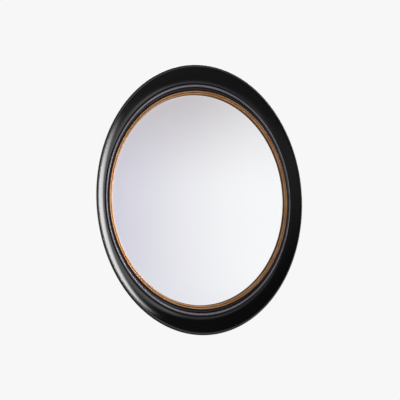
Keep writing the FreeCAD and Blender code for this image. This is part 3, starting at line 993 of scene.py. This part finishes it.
@dataclass
class Slip:
    """The reeded gilt slip, in four arcs with a flange behind the wood's lip."""

    sight: Ellipse = Ellipse(0.2545, 0.2985)
    face: Band = Band(39.3 * MM, 9.2 * MM, 70.7 * MM, 11.8 * MM)
    flange_line: tuple[float, float] = (33.5 * MM, 67.5 * MM)
    neck_line: tuple[float, float] = (39.5 * MM, 70.9 * MM)
    back: float = 14.7 * MM
    flange_front: float = 17.0 * MM
    foot: float = 19.1 * MM
    first_crest: float = 21.3 * MM
    valley: float = 18.9 * MM
    second_crest: float = 20.0 * MM
    sight_front: float = 17.4 * MM
    neck_share: float = 0.03
    first_share: float = 0.2
    valley_share: float = 0.48
    second_share: float = 0.65
    reed_steps: tuple[int, int, int, int] = (8, 10, 7, 10)

    def section(self) -> list[Line]:
        """Draws the slip's section, from the sight edge round the flange and over the two reeds.

        Returns:
            Its lines in order.
        """
        first, valley, second = self.first_share, self.valley_share, self.second_share
        climb, drop, next_climb, next_drop = self.reed_steps
        lines = [self.face.line(1.0, self.back), Line(*self.flange_line, self.back),
                 Line(*self.flange_line, self.flange_front), Line(*self.neck_line, self.flange_front),
                 Line(*self.neck_line, self.foot)]
        lines += self.face.rise(self.neck_share, first, self.foot, self.first_crest, climb)
        lines += self.face.fall(first, valley, self.first_crest, self.valley, drop)
        lines += self.face.rise(valley, second, self.valley, self.second_crest, next_climb)
        return lines + self.face.fall(second, 1.0, self.second_crest, self.sight_front, next_drop)

    def build(self, frame: dict) -> None:
        """Sweeps and gilds the four arcs.

        Args:
            frame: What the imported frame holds.
        """
        sweep = Sweep(self.section())
        gilt = Gilt("bronze_gilt", self.sight, self.valley_share).material()
        for place, (start, finish) in arc_joints().items():
            mesh = sweep.mesh(f"gilt_slip_{place}", start, finish)
            mesh.materials.append(gilt)
            stand_for(mesh, f"slip_arc_{place}", "frame")


@dataclass
class Plate:
    """The bevelled glass, its silver and the rubber blocks round it."""

    edge: Ellipse = Ellipse(0.2675, 0.3115)
    bevel_width: float = 25.0 * MM
    back_level: float = 10.7 * MM
    silver_gap: float = 0.02 * MM
    edge_level: float = 13.8 * MM
    face_level: float = 14.9 * MM
    arris: float = 0.4 * MM
    arris_lift: float = 0.04 * MM
    steps: int = 288
    crisp_angle: float = 3.0

    def mesh(self) -> bpy.types.Mesh:
        """Builds the plate as one closed solid with flat faces and crisp bevel lines.

        Returns:
            The plate's mesh.
        """
        back = self.back_level + self.silver_gap
        rows = [(self.arris, back), (0.0, back + self.arris), (0.0, self.edge_level - self.arris),
                (self.arris, self.edge_level + self.arris_lift), (self.bevel_width, self.face_level)]
        turns = [math.tau * step / self.steps for step in range(self.steps)]
        rings = [[((self.edge.across - inset) * math.cos(turn), -level,
                   (self.edge.up - inset) * math.sin(turn)) for turn in turns] for inset, level in rows]
        return closed_mesh("bevelled_glass", rings, self.crisp_angle, turned=True)

    def build(self, frame: dict) -> None:
        """Builds the glass and dresses the plate and what touches it.

        Args:
            frame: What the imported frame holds.
        """
        mesh = self.mesh()
        mesh.materials.append(ClearGlass("clear_glass").material())
        stand_for(mesh, "mirror_glass", "frame")
        dress(frame, ["mirror_silvering"], Silvering("silver_and_backing_paint"))
        dress(frame, ["edge_blocks"], Rubber("block_rubber"))


@dataclass
class Backing:
    """The foam sheet and the board behind the glass."""

    foam: Foam = Foam("white_foam")
    board: Hardboard = Hardboard("brown_hardboard")

    def build(self, frame: dict) -> None:
        """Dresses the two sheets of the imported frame."""
        dress(frame, ["foam_sheet"], self.foam)
        dress(frame, ["backing_board"], self.board)


@dataclass
class Fittings:
    """The turn buttons, the hangers, their screws and the wall bumpers."""

    buttons: tuple[str, ...] = ("upper_right", "top", "upper_left", "lower_left", "bottom", "lower_right")
    sides: tuple[str, ...] = ("left", "right")
    zinc: PlatedSteel = PlatedSteel("zinc_plate", tint("B9BDC0"), tint("8C8F90"), 0.34)
    screw_zinc: PlatedSteel = PlatedSteel("zinc_screws", tint("C3C1B4"), tint("8E8A78"), 0.27)
    strap_nickel: PlatedSteel = PlatedSteel("nickel_strap", tint("C9C4BA"), tint("A09A8E"), 0.22)
    ring_nickel: PlatedSteel = PlatedSteel("nickel_ring", tint("D2CCC0"), tint("A8A194"), 0.24)
    rubber: Rubber = Rubber("bumper_rubber")

    def build(self, frame: dict) -> None:
        """Dresses the metal and the rubber fittings.

        Args:
            frame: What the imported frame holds.
        """
        dress(frame, [f"turn_button_{place}" for place in self.buttons], self.zinc)
        dress(frame, ["turn_button_screws", "hanger_screws"], self.screw_zinc)
        dress(frame, [f"hanger_strap_{side}" for side in self.sides], self.strap_nickel)
        dress(frame, [f"hanger_ring_{side}" for side in self.sides], self.ring_nickel)
        dress(frame, ["wall_bumpers"], self.rubber)


@dataclass(frozen=True)
class Patch:
    """A soft-edged patch of the room, by its edges in degrees."""

    left: tuple[float, float]
    right: tuple[float, float]
    foot: tuple[float, float]
    head: tuple[float, float]

    def share(self, azimuth: Socket, elevation: Socket) -> Socket:
        """Tells how much of the patch shows in each direction.

        Args:
            azimuth: The direction's azimuth in degrees.
            elevation: Its elevation in degrees.

        Returns:
            The share of the patch.
        """
        sides = azimuth.ease(*self.left) * azimuth.ease(*self.right)
        return sides * elevation.ease(*self.foot) * elevation.ease(*self.head)


@dataclass(frozen=True)
class Window(Patch):
    """A bright patch, by what the glass and the gloss see of it and by the light that it casts."""

    seen: Colour
    cast: Colour


@dataclass(frozen=True)
class Lamp:
    """A soft square lamp that faces the mirror; its azimuth runs in degrees from -Y towards +X."""

    name: str
    azimuth: float
    elevation: float
    away: float
    size: float
    power: float

    def build(self) -> None:
        """Hangs the lamp."""
        data = bpy.data.lights.new(self.name, "AREA")
        data.shape = "SQUARE"
        data.size = self.size
        data.energy = self.power
        lamp = bpy.data.objects.new(self.name, data)
        bpy.context.scene.collection.objects.link(lamp)
        turn, rise = math.radians(self.azimuth), math.radians(self.elevation)
        toward = Vector((math.sin(turn) * math.cos(rise), -math.cos(turn) * math.cos(rise), math.sin(rise)))
        lamp.location = toward * self.away
        lamp.rotation_mode = "QUATERNION"
        lamp.rotation_quaternion = toward.to_track_quat("Z", "Y")


@dataclass
class Room:
    """The pale surround, the soft light and the floor.

    Pairs named turn, rise or fall are the degrees between which the world's colours change.
    """

    white: Colour = tint("F7F7F7")
    ambient: Colour = grey(0.3)
    ambient_behind: Colour = grey(0.45)
    low_dim: Colour = grey(0.3)
    high_dim: Colour = grey(0.06)
    behind: Colour = grey(0.7)
    glass_left: Colour = tint("C8C5D8")
    glass_right: Colour = tint("FCFCFC")
    glass_top: Colour = tint("B7AFB3")
    glass_edge: Colour = tint("D9D6D7")
    glass_bottom: Colour = tint("CCD5E1")
    windows: tuple[Window, ...] = (
        Window((25, 36), (100, 86), (-18, -4), (32, 16), grey(2.0), grey(2.4)),
        Window((68, 81), (100, 91), (-20, 1), (38, 28), grey(14.0), grey(5.0)))
    near: Patch = Patch((-6, 8), (48, 36), (-22, -12), (30, 20))
    dim_rise: tuple[float, float] = (-12, 34)
    dim_turn: tuple[float, float] = (115, 140)
    ambient_turn: tuple[float, float] = (95, 125)
    glass_turn: tuple[float, float] = (11.5, 20.5)
    left_turn: tuple[float, float] = (26, 17)
    top_rise: tuple[float, float] = (3.5, 10.5)
    edge_rise: tuple[float, float] = (11.5, 14)
    bottom_fall: tuple[float, float] = (0, -4)
    lamp: Lamp = Lamp("soft_lamp_back", 160.0, 35.0, 3.2, 1.8, 40.0)
    floor_level: float = -1.45
    floor_reach: float = 6.0
    floor_fade: tuple[float, float] = (0.45, 0.98)
    floor_sides: int = 96
    floor_lift: float = 0.7
    floor_light: Colour = tint("E9E9E7")
    floor_dark: Colour = tint("E4E4E2")
    floor_mirrored: Colour = grey(0.3)
    floor_grain: Noise = Noise(120, 3, 0.6)

    def sky(self, tree: ShaderTree, azimuth: Socket, elevation: Socket) -> Socket:
        """Paints what the glass and the gloss reflect: a pale wall in a dim room.

        Args:
            tree: The world's node tree.
            azimuth: The direction's azimuth in degrees.
            elevation: Its elevation in degrees.

        Returns:
            The colour seen in that direction.
        """
        dim = tree.blend(elevation.ease(*self.dim_rise), self.low_dim, self.high_dim)
        dim = tree.blend(abs(azimuth).ease(*self.dim_turn), dim, self.behind)
        wall = tree.blend(azimuth.ease(*self.glass_turn), self.glass_left, self.glass_right)
        left = azimuth.ease(*self.left_turn)
        wall = tree.blend(elevation.ease(*self.top_rise) * left, wall, self.glass_top)
        wall = tree.blend(elevation.ease(*self.bottom_fall) * left, wall, self.glass_bottom)
        wall = tree.blend(elevation.ease(*self.edge_rise), wall, self.glass_edge)
        return tree.blend(self.near.share(azimuth, elevation), dim, wall)

    def make_world(self) -> None:
        """Lights the object evenly and shows a pale surround to the camera."""
        world = bpy.data.worlds.new("pale_room")
        world.use_nodes = True
        bpy.context.scene.world = world
        tree = ShaderTree(world.node_tree)
        across, out, up = tree.parts(tree.add("ShaderNodeTexCoord", result="Generated"))
        degree = 180 / math.pi
        azimuth = across.maths("ARCTAN2", across, -1 * out) * degree
        elevation = up.maths("ARCSINE", up) * degree
        ray = tree.add("ShaderNodeLightPath", result="Is Camera Ray")
        glossy = Socket(tree, ray.output.node.outputs["Is Glossy Ray"])
        passing = Socket(tree, ray.output.node.outputs["Is Transmission Ray"])
        mirrored = glossy.most(passing)
        around = tree.blend(abs(azimuth).ease(*self.ambient_turn), self.ambient, self.ambient_behind)
        colour = tree.blend(mirrored, around, self.sky(tree, azimuth, elevation))
        for window in self.windows:
            bright = tree.blend(mirrored, window.cast, window.seen)
            colour = tree.blend(window.share(azimuth, elevation), colour, bright)
        colour = tree.blend(ray, colour, self.white)
        background = tree.add("ShaderNodeBackground", sockets={"Color": colour, "Strength": 1.0})
        tree.add("ShaderNodeOutputWorld", sockets={"Surface": background})

    def make_floor(self) -> None:
        """Lays a pale round floor that fades out into the surround."""
        reach = self.floor_reach
        turns = [math.tau * index / self.floor_sides for index in range(self.floor_sides)]
        corners = [(reach * math.cos(turn), reach * math.sin(turn), self.floor_level) for turn in turns]
        mesh = bpy.data.meshes.new("floor")
        mesh.from_pydata(corners, [], [tuple(range(self.floor_sides))])
        floor = bpy.data.objects.new("floor", mesh)
        bpy.context.scene.collection.objects.link(floor)
        made = bpy.data.materials.new("pale_floor")
        made.use_nodes = True
        tree = ShaderTree(made.node_tree)
        place = tree.place()
        across, out, up = tree.parts(place)
        away = (across * across + out * out).root()
        grain = tree.noise(place, self.floor_grain)
        colour = tree.blend(grain, self.floor_light, self.floor_dark)
        mirrored = tree.add("ShaderNodeLightPath", result="Is Glossy Ray")
        colour = tree.blend(mirrored, colour, self.floor_mirrored)
        matt = tree.add("ShaderNodeBsdfDiffuse", sockets={"Color": colour})
        seen = tree.add("ShaderNodeLightPath", result="Is Camera Ray")
        shown = tree.add("ShaderNodeEmission", sockets={"Color": colour, "Strength": 1.0})
        matt = tree.add("ShaderNodeMixShader", sockets={0: seen * self.floor_lift, 1: matt, 2: shown})
        clear = tree.add("ShaderNodeBsdfTransparent")
        fade = away.ease(*(reach * share for share in self.floor_fade))
        faded = tree.add("ShaderNodeMixShader", sockets={0: fade, 1: matt, 2: clear})
        tree.add("ShaderNodeOutputMaterial", sockets={"Surface": faded})
        mesh.materials.append(made)

    def build(self) -> None:
        """Makes the surround, the floor and the lamp."""
        self.make_world()
        self.make_floor()
        self.lamp.build()
        log.info("the room is lit")


@dataclass
class Viewpoint:
    """The camera, by where it stands from the middle of the rim."""

    aim: tuple[float, float, float] = (0.0, -0.0395, 0.0)
    azimuth: float = 18.0
    rise: float = 3.6085
    roll: float = -2.471
    distance: float = 2.807
    lens: float = 90.0
    shift_across: float = -0.0069
    shift_up: float = -0.0033

    def build(self) -> None:
        """Stands the camera left of the mirror and a little below its middle."""
        turn, rise, roll = (math.radians(a) for a in (self.azimuth, self.rise, self.roll))
        ahead = Vector((math.sin(turn) * math.cos(rise), math.cos(turn) * math.cos(rise), math.sin(rise)))
        level = Vector((math.cos(turn), -math.sin(turn), 0.0))
        upward = level.cross(ahead)
        right = level * math.cos(roll) + upward * math.sin(roll)
        top = upward * math.cos(roll) - level * math.sin(roll)
        data = bpy.data.cameras.new("viewpoint")
        data.lens = self.lens
        data.shift_x = self.shift_across
        data.shift_y = self.shift_up
        camera = bpy.data.objects.new("viewpoint", data)
        bpy.context.scene.collection.objects.link(camera)
        facing = Matrix((right, top, -ahead)).transposed().to_4x4()
        camera.matrix_world = Matrix.Translation(Vector(self.aim) - ahead * self.distance) @ facing
        bpy.context.scene.camera = camera
        log.info("camera at %s", tuple(round(c, 3) for c in camera.matrix_world.translation))


def main() -> None:
    """Loads the frame, dresses each sub-assembly and lights the scene."""
    logging.basicConfig(level=logging.INFO, format="%(name)s: %(message)s")
    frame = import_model()
    for assembly in (Moulding(), Slip(), Plate(), Backing(), Fittings()):
        assembly.build(frame)
    Room().build()
    Viewpoint().build()
    bpy.context.scene.view_settings.view_transform = "Standard"


if __name__ == "__main__":
    main()
